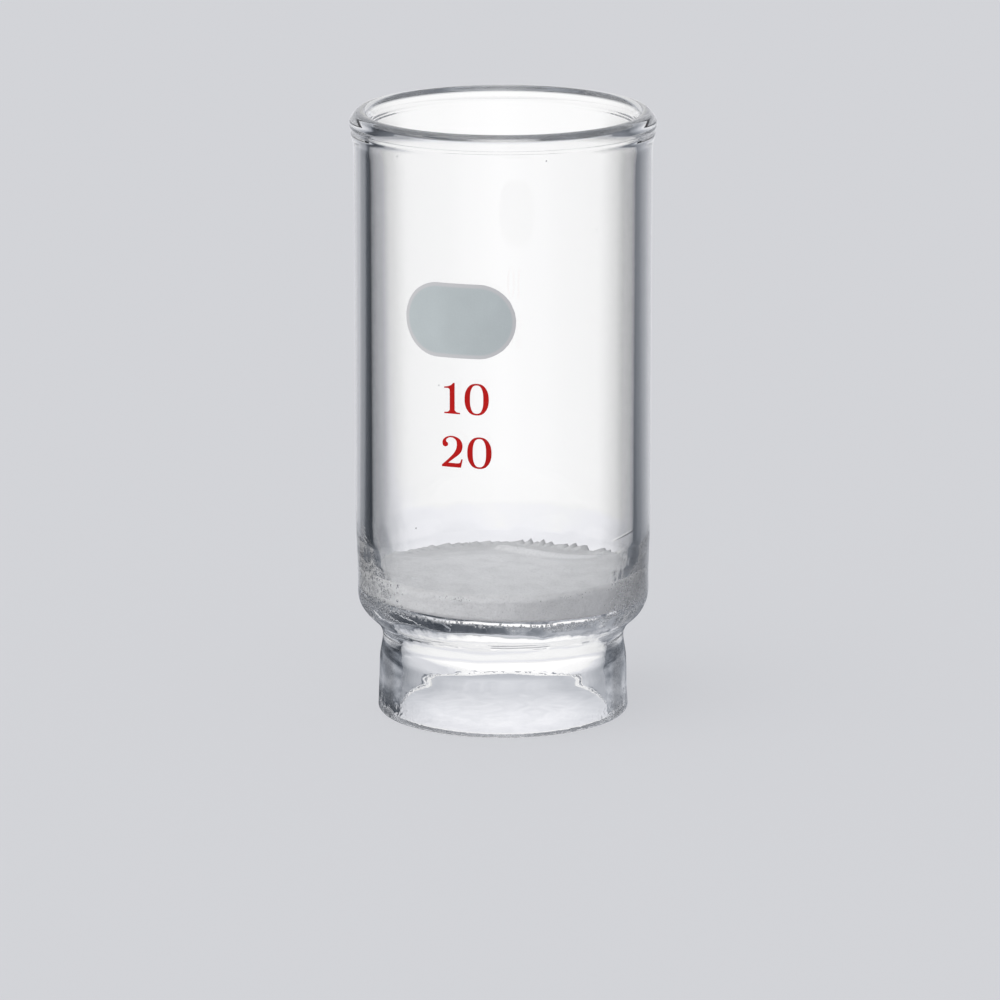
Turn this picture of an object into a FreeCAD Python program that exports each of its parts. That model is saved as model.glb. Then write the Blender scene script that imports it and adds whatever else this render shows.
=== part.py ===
import FreeCAD, Part
import math
import os

from FreeCAD import Vector

# A filter crucible of clear borosilicate glass: a straight cup with a beaded rim, drawn in at
# the bottom to a short open collar, with a disc of sintered glass sealed across the cup just
# above the shoulder, and an oval spot of grey enamel to write on, fired onto the wall.
# Millimetres. The origin is on the axis, at the foot that the crucible stands on, with +Z up
# and -Y towards the side that carries the enamel.

# Cup: drawn tube, straight from the seal to the flare under the rim.
body_outer_diameter = 32.0
body_wall = 1.8
cup_depth = 49.8

# Rim: a fire-polished bead that slopes in on both sides of its crest, with a fine groove and a
# slight flare below it.
rim_overhang = 0.48
rim_depth = 1.65
rim_outer_slope_width = 0.8
rim_outer_slope_height = 1.05
rim_inner_slope_width = 0.55
rim_inner_slope_height = 1.4
rim_crest_rounding = 0.9
rim_side_rounding = 0.8
rim_underside_rounding = 0.35
groove_overhang = 0.08
groove_width = 0.4
groove_rounding = 0.12
flare_overhang = 0.34
flare_crest_width = 0.35
flare_crest_rounding = 0.4
flare_length = 1.25
flare_end_rounding = 4.0

# Sintered disc: its edge is sunk a little into the wall, which was shrunk onto it.
disc_thickness = 2.95
disc_edge_in_wall = 0.3
disc_edge_rounding = 0.4
disc_above_shoulder = 1.5

# Seal: glass pushed in over the disc's upper edge, a ledge under its lower edge, and a
# shallow waist outside, where the softened wall was pressed onto the disc.
seal_lip_width = 1.45
seal_lip_height = 2.0
seal_lip_blend = 5.0
seal_lip_nose_rounding = 0.2
seal_ledge_width = 0.8
seal_ledge_nose_rounding = 0.3
seal_waist_depth = 0.15
seal_waist_height = 3.25
seal_waist_taper = 4.5
seal_waist_rounding = 20.0

# Shoulder: a full outer curve that runs in to the neck of the collar, and a slope inside that
# drains the underside of the disc.
shoulder_height = 2.65
shoulder_rounding = 5.0
drain_height = 2.65
drain_rounding = 2.2

# Collar: an open ring of thicker wall that a holder's rubber ring takes. It widens a little
# towards the foot, which is ground flat, and narrows to a neck above.
foot_outer_diameter = 27.24
foot_rounding = 0.2
collar_flare = 0.18
collar_height = 5.8
collar_wall = 2.2
collar_top_rounding = 6.0
neck_depth = 0.57
neck_height = 3.3
neck_rounding = 3.0

# Enamel spot: an oval field, wrapped on the wall, left of centre as seen from the front.
spot_width = 12.4
spot_height = 8.0
spot_thickness = 0.06
spot_end_rounding = 3.9
spot_below_rim = 19.8
spot_centre_angle = -17.3

# Radii that the sizes above come to.
body_r = body_outer_diameter / 2
bore_r = body_r - body_wall
disc_r = bore_r + disc_edge_in_wall
waist_r = body_r - seal_waist_depth
foot_r = foot_outer_diameter / 2
collar_r = foot_r - collar_flare
collar_bore_r = collar_r - collar_wall
neck_r = collar_r - neck_depth

# Heights, built up from the foot: collar, neck, shoulder, disc and cup.
neck_z = collar_height + neck_height
shoulder_z = neck_z + shoulder_height
disc_underside_z = shoulder_z + disc_above_shoulder
disc_top_z = disc_underside_z + disc_thickness
rim_z = disc_top_z + cup_depth
spot_z = rim_z - spot_below_rim

AXIS = Vector(0, 0, 1)
ORIGIN = Vector(0, 0, 0)
SHORTEST_RUN = 1e-4


def outline_point(point):
    """A point of a section, given as radius from the axis and height."""
    return Vector(point[0], 0, point[1])


def corner_round(before, corner, after, rounding):
    """The two tangent points and the middle of the arc that rounds a corner, held to half of
    the shorter run beside it."""
    here = outline_point(corner)
    to_before = outline_point(before) - here
    to_after = outline_point(after) - here
    half_angle = to_before.getAngle(to_after) / 2
    room = min(to_before.Length, to_after.Length) / 2
    setback = min(rounding / math.tan(half_angle), room)
    radius = setback * math.tan(half_angle)
    to_before.normalize()
    to_after.normalize()
    inward = to_before + to_after
    inward.normalize()
    middle = here + inward * (radius / math.sin(half_angle) - radius)
    return here + to_before * setback, middle, here + to_after * setback


def rounded_section(corners):
    """A closed face in the XZ half-plane, of straight runs joined by tangent arcs. Each corner
    is its radius from the axis, its height and its rounding, where 0 leaves it sharp."""
    count = len(corners)
    arcs = []
    for i, (radius, height, rounding) in enumerate(corners):
        here = (radius, height)
        if rounding:
            arcs.append(corner_round(corners[i - 1][:2], here, corners[(i + 1) % count][:2], rounding))
        else:
            arcs.append((outline_point(here),) * 3)
    edges = []
    for i, (start, middle, end) in enumerate(arcs):
        if (end - start).Length > SHORTEST_RUN:
            edges.append(Part.Arc(start, middle, end).toShape())
        following = arcs[(i + 1) % count][0]
        if (following - end).Length > SHORTEST_RUN:
            edges.append(Part.LineSegment(end, following).toShape())
    return Part.Face(Part.Wire(edges))


def turned(corners):
    """The solid that a section sweeps in one full turn about the axis."""
    solid = rounded_section(corners).revolve(ORIGIN, AXIS, 360)
    if solid.Volume < 0:
        solid.reverse()
    return solid


def runs_along_y(edge):
    """Whether a straight edge is parallel to the Y axis."""
    first, last = (vertex.Point for vertex in edge.Vertexes)
    return abs(abs(last.y - first.y) - (last - first).Length) < SHORTEST_RUN


def glass_body():
    """Cup, rim, seal, shoulder and collar: one piece of glass, turned from one section."""
    rim_r = body_r + rim_overhang
    rim_underside_z = rim_z - rim_depth
    groove_z = rim_underside_z - groove_width
    flare_z = groove_z - flare_crest_width
    foot = [
        (collar_bore_r, 0, foot_rounding),
        (foot_r, 0, foot_rounding),
    ]
    collar_and_shoulder = [
        (collar_r, collar_height, collar_top_rounding),
        (neck_r, neck_z, neck_rounding),
        (waist_r, shoulder_z, shoulder_rounding),
        (waist_r, shoulder_z + seal_waist_height, seal_waist_rounding),
        (body_r, shoulder_z + seal_waist_height + seal_waist_taper, seal_waist_rounding),
    ]
    rim = [
        (body_r, flare_z - flare_length, flare_end_rounding),
        (body_r + flare_overhang, flare_z, flare_crest_rounding),
        (body_r + groove_overhang, groove_z, groove_rounding),
        (rim_r, rim_underside_z, rim_underside_rounding),
        (rim_r, rim_z - rim_outer_slope_height, rim_side_rounding),
        (rim_r - rim_outer_slope_width, rim_z, rim_crest_rounding),
        (bore_r + rim_inner_slope_width, rim_z, rim_crest_rounding),
        (bore_r, rim_z - rim_inner_slope_height, rim_side_rounding),
    ]
    lip = [
        (bore_r, disc_top_z + seal_lip_height, seal_lip_blend),
        (bore_r - seal_lip_width, disc_top_z, seal_lip_nose_rounding),
    ]
    pocket = [
        (disc_r, disc_top_z, disc_edge_rounding),
        (disc_r, disc_underside_z, disc_edge_rounding),
    ]
    ledge_and_drain = [
        (disc_r - seal_ledge_width, disc_underside_z, seal_ledge_nose_rounding),
        (collar_bore_r, disc_underside_z - drain_height, drain_rounding),
    ]
    return turned(foot + collar_and_shoulder + rim + lip + pocket + ledge_and_drain)


def sintered_disc():
    """The porous disc, filling the pocket that the glass holds it by."""
    return turned([
        (0, disc_underside_z, 0),
        (disc_r, disc_underside_z, disc_edge_rounding),
        (disc_r, disc_top_z, disc_edge_rounding),
        (0, disc_top_z, 0),
    ])


def enamel_spot():
    """A skin of enamel on the wall: the part of a thin sleeve that lies behind an oval. The
    oval is drawn flat, as wide as the chord of the stretch of wall that it covers."""
    chord = 2 * body_r * math.sin(spot_width / 2 / body_r)
    reach = 2 * body_r
    corner = Vector(-chord / 2, -reach, spot_z - spot_height / 2)
    block = Part.makeBox(chord, reach, spot_height, corner)
    ends = [edge for edge in block.Edges if runs_along_y(edge)]
    oval = block.makeFillet(min(spot_end_rounding, spot_height / 2 - SHORTEST_RUN), ends)
    oval.rotate(ORIGIN, AXIS, spot_centre_angle)
    base = Vector(0, 0, spot_z - spot_height)
    sleeve = Part.makeCylinder(body_r + spot_thickness, 2 * spot_height, base)
    wall = Part.makeCylinder(body_r, 2 * spot_height, base)
    return sleeve.cut(wall).common(oval).Solids[0]


def main():
    os.makedirs("parts", exist_ok=True)
    nodes = {
        "glass_body": glass_body(),
        "sintered_disc": sintered_disc(),
        "enamel_spot": enamel_spot(),
    }
    for name, solid in nodes.items():
        solid.exportStep(f"parts/{name}.step")
        print(name, "volume", round(solid.Volume, 1), "mm3, valid", solid.isValid())


main()
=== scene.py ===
"""Looks of a glass filter crucible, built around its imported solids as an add-on that runs as a script."""

import math
import random

import bmesh
import bpy
from bpy.props import FloatProperty, FloatVectorProperty, IntProperty, PointerProperty
from bpy.types import Operator, Panel, PropertyGroup
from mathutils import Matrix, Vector, noise


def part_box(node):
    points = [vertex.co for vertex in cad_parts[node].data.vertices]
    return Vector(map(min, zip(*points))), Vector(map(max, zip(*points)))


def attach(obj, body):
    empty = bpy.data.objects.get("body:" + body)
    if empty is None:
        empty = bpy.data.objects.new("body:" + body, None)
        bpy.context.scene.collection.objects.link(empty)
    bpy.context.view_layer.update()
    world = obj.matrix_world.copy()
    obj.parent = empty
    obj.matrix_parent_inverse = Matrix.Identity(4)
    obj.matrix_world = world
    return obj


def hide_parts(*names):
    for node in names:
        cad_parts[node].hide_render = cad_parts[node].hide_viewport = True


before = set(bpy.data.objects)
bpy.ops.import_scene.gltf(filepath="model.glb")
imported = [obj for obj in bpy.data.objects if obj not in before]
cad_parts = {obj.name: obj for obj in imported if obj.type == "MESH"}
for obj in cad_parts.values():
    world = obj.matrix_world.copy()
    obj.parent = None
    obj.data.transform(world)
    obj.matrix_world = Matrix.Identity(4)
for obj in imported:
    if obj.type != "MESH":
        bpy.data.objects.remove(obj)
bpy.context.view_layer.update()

bl_info = {
    "name": "Filter crucible",
    "version": (1, 0, 0),
    "blender": (4, 5, 0),
    "location": "3D View > Sidebar > Crucible",
    "description": "Builds the glass, sintered disc, enamel spot, print and studio of a filter crucible",
    "category": "Add Mesh",
}

MM = 0.001

# Sizes that the solids give, in millimetres.
RIM_RADIUS = min(*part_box("glass_body")[1].xy, *-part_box("glass_body")[0].xy) / MM
RIM_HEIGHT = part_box("glass_body")[1].z / MM
DISC_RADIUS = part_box("sintered_disc")[1].x / MM
DISC_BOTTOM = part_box("sintered_disc")[0].z / MM
DISC_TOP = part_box("sintered_disc")[1].z / MM
SPOT_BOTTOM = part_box("enamel_spot")[0].z / MM
SPOT_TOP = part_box("enamel_spot")[1].z / MM


# Meshes

# Runs of an outline, in millimetres: those that count as none and those that stay undivided.
# Longer ones have a point close to each end, at this share of their length.
SHORTEST_RUN = 1e-6
UNDIVIDED_RUN = 0.3
NEAR_END = 0.04


def turned_place(radius, angle, height):
    """A point in metres from its radius, its angle round from the front and its height."""
    return radius * math.sin(angle) * MM, -radius * math.cos(angle) * MM, height * MM


def arc_through_corner(before, corner, after, rounding, steps_per_turn):
    """Points of the arc that rounds a corner of an outline, held to half of the shorter run."""
    here = Vector(corner)
    to_before = Vector(before) - here
    to_after = Vector(after) - here
    half_angle = to_before.angle(to_after) / 2
    setback = min(rounding / math.tan(half_angle), min(to_before.length, to_after.length) / 2)
    radius = setback * math.tan(half_angle)
    start = here + to_before.normalized() * setback
    end = here + to_after.normalized() * setback
    inward = (to_before.normalized() + to_after.normalized()).normalized()
    centre = here + inward * (radius / math.sin(half_angle))
    turn = math.pi - 2 * half_angle
    steps = max(2, math.ceil(turn / math.tau * steps_per_turn))
    first = start - centre
    last = end - centre
    points = []
    for i in range(steps + 1):
        share = i / steps
        weight_first = math.sin((1 - share) * turn) / math.sin(turn)
        weight_last = math.sin(share * turn) / math.sin(turn)
        points.append(centre + first * weight_first + last * weight_last)
    return points


def rounded_outline(corners, longest_run, steps_per_turn=50, closed=True):
    """An outline of (radius, height) points: each corner is rounded by its own radius, and long
    runs are divided, closely near their ends so that shading stays with its own run."""
    count = len(corners)
    arcs = []
    for i, (radius, height, rounding) in enumerate(corners):
        if rounding:
            before = corners[i - 1][:2]
            after = corners[(i + 1) % count][:2]
            arcs.append(arc_through_corner(before, (radius, height), after, rounding, steps_per_turn))
        else:
            arcs.append([Vector((radius, height))])
    outline = []
    for i, arc in enumerate(arcs):
        outline.extend(arc)
        if i == count - 1 and not closed:
            continue
        run = arcs[(i + 1) % count][0] - arc[-1]
        if run.length < SHORTEST_RUN:
            outline.pop()
            continue
        parts = max(1, math.ceil(run.length / longest_run))
        shares = sorted({k / parts for k in range(1, parts)} | {NEAR_END, 1 - NEAR_END})
        if run.length > UNDIVIDED_RUN:
            outline.extend(arc[-1] + run * share for share in shares)
    return outline


def turned_mesh(name, outline, segments, shape, closed=True, extras=None):
    """A mesh that turns an outline about the axis. shape gives a point's radius and height from
    its radius, angle and height, and extras adds more to the mesh."""
    mesh = bmesh.new()
    rings = []
    for radius, height in outline:
        if radius < SHORTEST_RUN:
            rings.append([mesh.verts.new((0, 0, height * MM))])
            continue
        ring = []
        for k in range(segments):
            angle = math.tau * k / segments
            r, z = shape(radius, angle, height)
            ring.append(mesh.verts.new(turned_place(r, angle, z)))
        rings.append(ring)
    pairs = list(zip(rings, rings[1:]))
    if closed:
        pairs.append((rings[-1], rings[0]))
    for low, high in pairs:
        for k in range(segments):
            following = (k + 1) % segments
            corners = [low[k % len(low)], low[following % len(low)]]
            corners += [high[following % len(high)], high[k % len(high)]]
            corners = list(dict.fromkeys(corners))
            if len(corners) > 2:
                mesh.faces.new(corners)
    bmesh.ops.recalc_face_normals(mesh, faces=mesh.faces)
    if extras:
        extras(mesh, random.Random(7))
    return finished_mesh(name, mesh, outwards=True)


def finished_mesh(name, mesh, outwards=False):
    """An object from a bmesh, smooth, with its normals outwards, linked to the scene."""
    if not outwards:
        bmesh.ops.recalc_face_normals(mesh, faces=mesh.faces)
    for face in mesh.faces:
        face.smooth = True
    data = bpy.data.meshes.new(name)
    mesh.to_mesh(data)
    mesh.free()
    piece = bpy.data.objects.new(name, data)
    bpy.context.scene.collection.objects.link(piece)
    return piece


def on_wall(along, up, radius):
    """A point of the wall from its place on the unrolled wall, both in millimetres."""
    return turned_place(radius, along / BODY_RADIUS, up)


# Materials

def material_nodes(name):
    """A new material, its node tree and its Principled shader."""
    made = bpy.data.materials.new(name)
    made.use_nodes = True
    tree = made.node_tree
    shader = next(node for node in tree.nodes if node.type == "BSDF_PRINCIPLED")
    return made, tree, shader


def fill(tree, node, inputs):
    """Fills inputs of a node by name or number: a socket is linked, a value is set."""
    for key, value in inputs.items():
        if isinstance(value, bpy.types.NodeSocket):
            tree.links.new(value, node.inputs[key])
        else:
            node.inputs[key].default_value = value


def add_node(tree, kind, inputs=None, **settings):
    """A node with its settings and inputs."""
    node = tree.nodes.new(kind)
    for key, value in settings.items():
        setattr(node, key, value)
    fill(tree, node, inputs or {})
    return node


def new_group(name, inputs, outputs):
    """A new node group with sockets by name and kind: its tree, and what goes into it."""
    tree = bpy.data.node_groups.new(name, "ShaderNodeTree")
    for in_out, sockets in (("INPUT", inputs), ("OUTPUT", outputs)):
        for socket, kind in sockets.items():
            tree.interface.new_socket(socket, in_out=in_out, socket_type="NodeSocket" + kind)
    return tree, add_node(tree, "NodeGroupInput").outputs


def calculate(tree, operation, *values):
    """The output of a Math node."""
    return add_node(tree, "ShaderNodeMath", dict(enumerate(values)), operation=operation).outputs[0]


def show_mixed(tree, factor, first, second):
    """Shows a material as a mix of two shaders."""
    mix = add_node(tree, "ShaderNodeMixShader", {0: factor, 1: first.outputs[0], 2: second.outputs[0]})
    output = next(node for node in tree.nodes if node.type == "OUTPUT_MATERIAL")
    fill(tree, output, {"Surface": mix.outputs[0]})


def product(tree, *values):
    """The product of two or more values."""
    total = values[0]
    for value in values[1:]:
        total = calculate(tree, "MULTIPLY", total, value)
    return total


def bell(tree, value):
    """1 where a value is 0, falling off to both sides."""
    return calculate(tree, "POWER", math.e, product(tree, value, value, -1.0))


def mapped(tree, value, low, high, to_low=0.0, to_high=1.0, smooth=False):
    """A value brought from one range to another, and held within it."""
    inputs = {"Value": value, "From Min": low, "From Max": high, "To Min": to_low, "To Max": to_high}
    kind = "SMOOTHSTEP" if smooth else "LINEAR"
    return add_node(tree, "ShaderNodeMapRange", inputs, interpolation_type=kind).outputs[0]


def noise_value(tree, place, scale, detail=2.0, distortion=0.0, **settings):
    """The value of a Noise texture at a place."""
    inputs = {"Vector": place, "Scale": scale, "Detail": detail, "Distortion": distortion}
    return add_node(tree, "ShaderNodeTexNoise", inputs, **settings).outputs[0]


def vector_math(tree, operation, *values):
    """A Vector Math node."""
    return add_node(tree, "ShaderNodeVectorMath", dict(enumerate(values)), operation=operation)


def scaled(tree, vector, factor):
    """A vector or a colour times a value."""
    return add_node(tree, "ShaderNodeVectorMath", {0: vector, "Scale": factor}, operation="SCALE").outputs[0]


def separated(tree, vector):
    """The outputs X, Y and Z of a vector."""
    return add_node(tree, "ShaderNodeSeparateXYZ", {0: vector}).outputs


def from_axis(tree, place):
    """How far a place lies from the axis."""
    flat = vector_math(tree, "MULTIPLY", place, (1.0, 1.0, 0.0)).outputs[0]
    return vector_math(tree, "LENGTH", flat).outputs["Value"]


def round_from_front(tree, place):
    """The angle of a place round from the front, in radians."""
    parts = separated(tree, place)
    return calculate(tree, "ARCTAN2", parts["X"], calculate(tree, "MULTIPLY", parts["Y"], -1.0))


def mixed(tree, factor, first, second, kind="MIX"):
    """Two colours mixed by a factor."""
    inputs = {"Factor": factor, "A": first, "B": second}
    return add_node(tree, "ShaderNodeMix", inputs, data_type="RGBA", blend_type=kind).outputs["Result"]


def ramp(tree, factor, stops):
    """The colour output of a ramp through (place, grey) stops."""
    node = add_node(tree, "ShaderNodeValToRGB", {0: factor})
    node.color_ramp.interpolation = "EASE"
    elements = node.color_ramp.elements
    while len(elements) < len(stops):
        elements.new(0.5)
    for element, (place, grey) in zip(elements, stops):
        element.position = place
        element.color = (grey, grey, grey, 1)
    return node.outputs[0]


# Glass

BODY_RADIUS = 16.0
WALL = 1.8
BORE_RADIUS = BODY_RADIUS - WALL

FOOT_RADIUS = 13.62
COLLAR_RADIUS = FOOT_RADIUS - 0.18
COLLAR_WALL = 2.2
COLLAR_HEIGHT = 5.8
NECK_RADIUS = COLLAR_RADIUS - 0.57
NECK_HEIGHT = COLLAR_HEIGHT + 3.3
SHOULDER_HEIGHT = DISC_BOTTOM - 1.5
WAIST_RADIUS = BODY_RADIUS - 0.15
WAIST_TOP = SHOULDER_HEIGHT + 3.25
STRAIGHT_FROM = WAIST_TOP + 4.5
DRAIN_BOTTOM = DISC_BOTTOM - 3.75
LEDGE_WIDTH = 0.8
BORE_TOP = RIM_HEIGHT - 1.4
RIM_UNDERSIDE = RIM_HEIGHT - 1.65
GROOVE_HEIGHT = RIM_UNDERSIDE - 0.4
FLARE_HEIGHT = GROOVE_HEIGHT - 0.35
FLARE_BOTTOM = FLARE_HEIGHT - 1.25

# How high the grinding of the foot left its edges ragged, and up to where it is flat, to stand on.
GROUND_HEIGHT = 0.8
STANDING_HEIGHT = 0.02

# The seal: glass that thickens downwards, laps over the disc's edge and holds it from below. It
# goes a little way into the disc, so that no film of air is left between them. The disc is flat
# within DISC_FLAT and falls by DISC_FALL to its edge, and its top lies lower at the back.
SEAL_TOP = DISC_TOP + 3.4
SEAL_NOSE = BORE_RADIUS - 0.6
DISC_SINK = 0.3
DISC_FLAT = 13.7
DISC_FALL = 0.5
BACK_DROP = 1.2
UNDERSIDE_SKEW = 0.36


def glass_outline():
    """The section of the glass, from the foot up the outside and down the bore."""
    pocket_radius = DISC_RADIUS - DISC_SINK
    pocket_bottom = DISC_BOTTOM + DISC_SINK
    ledge_radius = DISC_RADIUS - LEDGE_WIDTH
    corners = [
        (FOOT_RADIUS - COLLAR_WALL, 0, 0.3),
        (FOOT_RADIUS, 0, 0.2),
        (COLLAR_RADIUS, COLLAR_HEIGHT, 6.0),
        (NECK_RADIUS, NECK_HEIGHT, 3.0),
        (WAIST_RADIUS, SHOULDER_HEIGHT, 5.0),
        (WAIST_RADIUS, WAIST_TOP, 20.0),
        (BODY_RADIUS, STRAIGHT_FROM, 20.0),
        (BODY_RADIUS, FLARE_BOTTOM, 4.0),
        (BODY_RADIUS + 0.34, FLARE_HEIGHT, 0.4),
        (BODY_RADIUS + 0.08, GROOVE_HEIGHT, 0.12),
        (RIM_RADIUS, RIM_UNDERSIDE, 0.35),
        (RIM_RADIUS, RIM_HEIGHT - 1.05, 0.8),
        (RIM_RADIUS - 0.8, RIM_HEIGHT, 0.9),
        (BORE_RADIUS + 0.55, RIM_HEIGHT, 0.9),
        (BORE_RADIUS, BORE_TOP, 0.8),
        (BORE_RADIUS, SEAL_TOP, 7.0),
        (SEAL_NOSE + 0.3, DISC_TOP + 1.1, 4.0),
        (SEAL_NOSE, DISC_TOP - DISC_SINK - 0.15, 0.0),
        (pocket_radius, DISC_TOP - DISC_FALL - DISC_SINK, 0.5),
        (pocket_radius, pocket_bottom, 0.4),
        (ledge_radius, pocket_bottom, 0.0),
        (ledge_radius, DISC_BOTTOM, 0.1),
        (13.42, DISC_BOTTOM - 0.28, 0.2),
        (13.36, DISC_BOTTOM - 0.57, 0.2),
        (12.5, DISC_BOTTOM - 1.3, 0.6),
        (NECK_RADIUS - COLLAR_WALL, DRAIN_BOTTOM, 2.0),
        (COLLAR_RADIUS - COLLAR_WALL, COLLAR_HEIGHT, 6.0),
    ]
    return rounded_outline(corners, longest_run=1.6)


def between(low, high, value):
    """0 below low, 1 above high, and a smooth way from one to the other."""
    share = min(max((value - low) / (high - low), 0), 1)
    return share * share * (3 - 2 * share)


def lies_lower(radius, angle, height):
    """How far the disc's top, and the glass on it, lie lower at the back than at the front."""
    beside_disc = between(DISC_BOTTOM + 0.8, DISC_TOP - 1.0, height)
    beside_disc *= 1 - between(DISC_TOP, DISC_TOP + 3.0, height)
    return BACK_DROP * beside_disc * between(3.0, 12.6, radius) * between(-0.3, 0.7, -math.cos(angle))


def skew(angle, height):
    """How far the disc's underside, and the ledge that holds it, lie higher on the left."""
    beside_edge = between(DISC_BOTTOM - 2.2, DISC_BOTTOM - 0.3, height)
    beside_edge *= 1 - between(DISC_BOTTOM + 0.6, DISC_TOP - 0.9, height)
    return -UNDERSIDE_SKEW * beside_edge * math.sin(angle)


def in_pocket(radius, height):
    """Whether a point of the glass lies against the disc."""
    return SEAL_NOSE - 0.01 < radius < DISC_RADIUS and DISC_BOTTOM < height < DISC_TOP - 0.01


# Marks of hand work on the glass, in millimetres. First their places: the heights between which
# the burner's work begins and ends and the collar's wander and the flare end, the underside of the
# ledge, and the nose of the lip.
WORK_BEGINS = (7.0, 10.0)
WORK_ENDS = (16.5, 22.0)
COLLAR_ENDS = (6.0, 11.0)
FLARE_ENDS = (RIM_UNDERSIDE - 0.3, RIM_UNDERSIDE + 0.2)
LEDGE_HEIGHTS = (DISC_BOTTOM - 2.2, DISC_BOTTOM - 0.1)
LEDGE_INSIDE = 13.6
NOSE_RADII = (BORE_RADIUS - 1.2, BORE_RADIUS - 0.2)
NOSE_REACH = 1.4

# Then how far they move the glass.
SWELL = 0.085
FINE_SWELL = 0.03
LIFT = 0.09
LEDGE_WANDER = 0.16
FINE_LEDGE_WANDER = 0.07
COLLAR_WANDER = 0.035
LIP_WANDER = 0.2
CHIPS_INSIDE = 0.16
CHIPS_OUTSIDE = 0.06
COARSE_TEETH = 0.34
FINE_TEETH = 0.3

# The share of the chips that the front of the foot has, and the share of the flare that is left at
# the front and at the back.
FRONT_CHIPS = 0.12
FLARE_LEFT = 0.2


def softened_waves(round_about, radius, height):
    """Waves of the seal and the shoulder, which the burner softened: outwards and upwards."""
    here = round_about * radius + Vector((0, 0, height))
    softened = between(*WORK_BEGINS, height) * (1 - between(*WORK_ENDS, height))
    swell = SWELL * noise.noise(here / 4.2) + FINE_SWELL * noise.noise(here / 1.5 + Vector((5, 0, 0)))
    return softened * swell, softened * LIFT * noise.noise(here / 3.4 + Vector((0, 9, 0)))


def ledge_wander(round_about, radius, height):
    """How far the ledge under the disc goes up and down."""
    low, high = LEDGE_HEIGHTS
    if radius < LEDGE_INSIDE and low < height < high:
        fine = FINE_LEDGE_WANDER * noise.noise(round_about * 8)
        return LEDGE_WANDER * noise.noise(round_about * 2.7) + fine
    return 0


def collar_wander(round_about, height):
    """How far the collar is out of round."""
    collar = 1 - between(*COLLAR_ENDS, height)
    return collar * COLLAR_WANDER * noise.noise(round_about * 3.1 + Vector((0, 0, height / 7)))


def foot_chips(round_about, radius, angle, height):
    """Chips that grinding left on the foot, outwards and upwards: the most inside and at the back."""
    if height >= GROUND_HEIGHT:
        return 0, 0
    rough = FRONT_CHIPS + (1 - FRONT_CHIPS) * between(-0.5, 0.4, -math.cos(angle))
    inner = radius < FOOT_RADIUS - COLLAR_WALL / 2
    chips = noise.noise(round_about * 31 + Vector((0, 0, height)))
    outwards = rough * (CHIPS_INSIDE if inner else CHIPS_OUTSIDE) * chips
    if not inner or height <= STANDING_HEIGHT:
        return outwards, 0
    coarse = COARSE_TEETH * abs(noise.noise(round_about * 29))
    fine = FINE_TEETH * abs(noise.noise(round_about * 61))
    return outwards, rough * (coarse + fine)


def lip_wander(round_about, radius, height):
    """How far inwards the lip of the seal laps over the disc more than elsewhere."""
    low, high = NOSE_RADII
    if low < radius < high and height > DISC_TOP - DISC_SINK - BACK_DROP:
        nose = 1 - between(0.0, NOSE_REACH, abs(height - DISC_TOP))
        return nose * LIP_WANDER * noise.noise(round_about * 3.3)
    return 0


def lost_flare(radius, angle, height):
    """How much of the flare under the rim is missing, the most at the front and at the back."""
    if FLARE_BOTTOM < height < FLARE_ENDS[1] and radius > BODY_RADIUS:
        kept = FLARE_LEFT + (1 - FLARE_LEFT) * math.sin(angle) ** 2
        return (radius - BODY_RADIUS) * (1 - kept) * (1 - between(*FLARE_ENDS, height))
    return 0


def hand_worked(radius, angle, height):
    """Moves a point of the turned glass as work at the burner leaves it: a seal and a shoulder
    that wander, a lip that laps over the disc unevenly, a ragged foot, and a flare that fades in
    and out."""
    at_disc = in_pocket(radius, height)
    if radius < DISC_RADIUS:
        height += skew(angle, height) - lies_lower(radius, angle, height)
    if at_disc:
        return radius, height
    round_about = Vector((math.sin(angle), -math.cos(angle), 0))
    swell, lift = softened_waves(round_about, radius, height)
    chips, teeth = foot_chips(round_about, radius, angle, height)
    moved_out = radius + swell + collar_wander(round_about, height) + chips
    moved_out -= lip_wander(round_about, radius, height)
    moved_out -= lost_flare(radius, angle, height)
    return moved_out, height + lift + ledge_wander(round_about, radius, height) + teeth


def add_bubbles(mesh, chance):
    """Fine bubbles, as surfaces that face inwards: a row along each edge of the disc, a froth at
    its sides where the wall was pressed on, and a few seeds in the wall."""
    bubbles = []
    for _ in range(LOWER_ROW):
        angle = chance.uniform(-math.pi, math.pi)
        radius = chance.gauss(15.1, 0.1)
        height = chance.gauss(12.95, 0.12)
        bubbles.append((angle, radius, height, chance.uniform(0.08, 0.16)))
    clusters = [chance.uniform(-math.pi, math.pi) for _ in range(CLUSTERS)]
    for _ in range(UPPER_ROW):
        angle = chance.choice(clusters) + chance.gauss(0, 0.06)
        radius = chance.gauss(15.0, 0.08)
        height = chance.gauss(15.75, 0.12)
        bubbles.append((angle, radius, height, chance.uniform(0.04, 0.1)))
    for _ in range(FROTH):
        side = chance.choice((-1, 1))
        angle = side * math.radians(chance.triangular(43, 104, 56))
        radius = chance.uniform(14.9, 15.5)
        height = chance.uniform(12.8, 16.4)
        bubbles.append((angle, radius, height, chance.uniform(0.08, 0.19)))
    for degrees, height, size in SEEDS:
        bubbles.append((math.radians(degrees), BODY_RADIUS - WALL / 2, height, size))
    ball = bmesh.new()
    bmesh.ops.create_icosphere(ball, subdivisions=1, radius=MM)
    points = [vertex.co.copy() for vertex in ball.verts]
    corners = [[vertex.index for vertex in face.verts] for face in ball.faces]
    ball.free()
    for angle, radius, height, size in bubbles:
        height += skew(angle, height) - lies_lower(radius, angle, height)
        centre = Vector(turned_place(radius, angle, height))
        placed = [mesh.verts.new(centre + point * size) for point in points]
        for face in corners:
            mesh.faces.new([placed[i] for i in reversed(face)])


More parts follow.
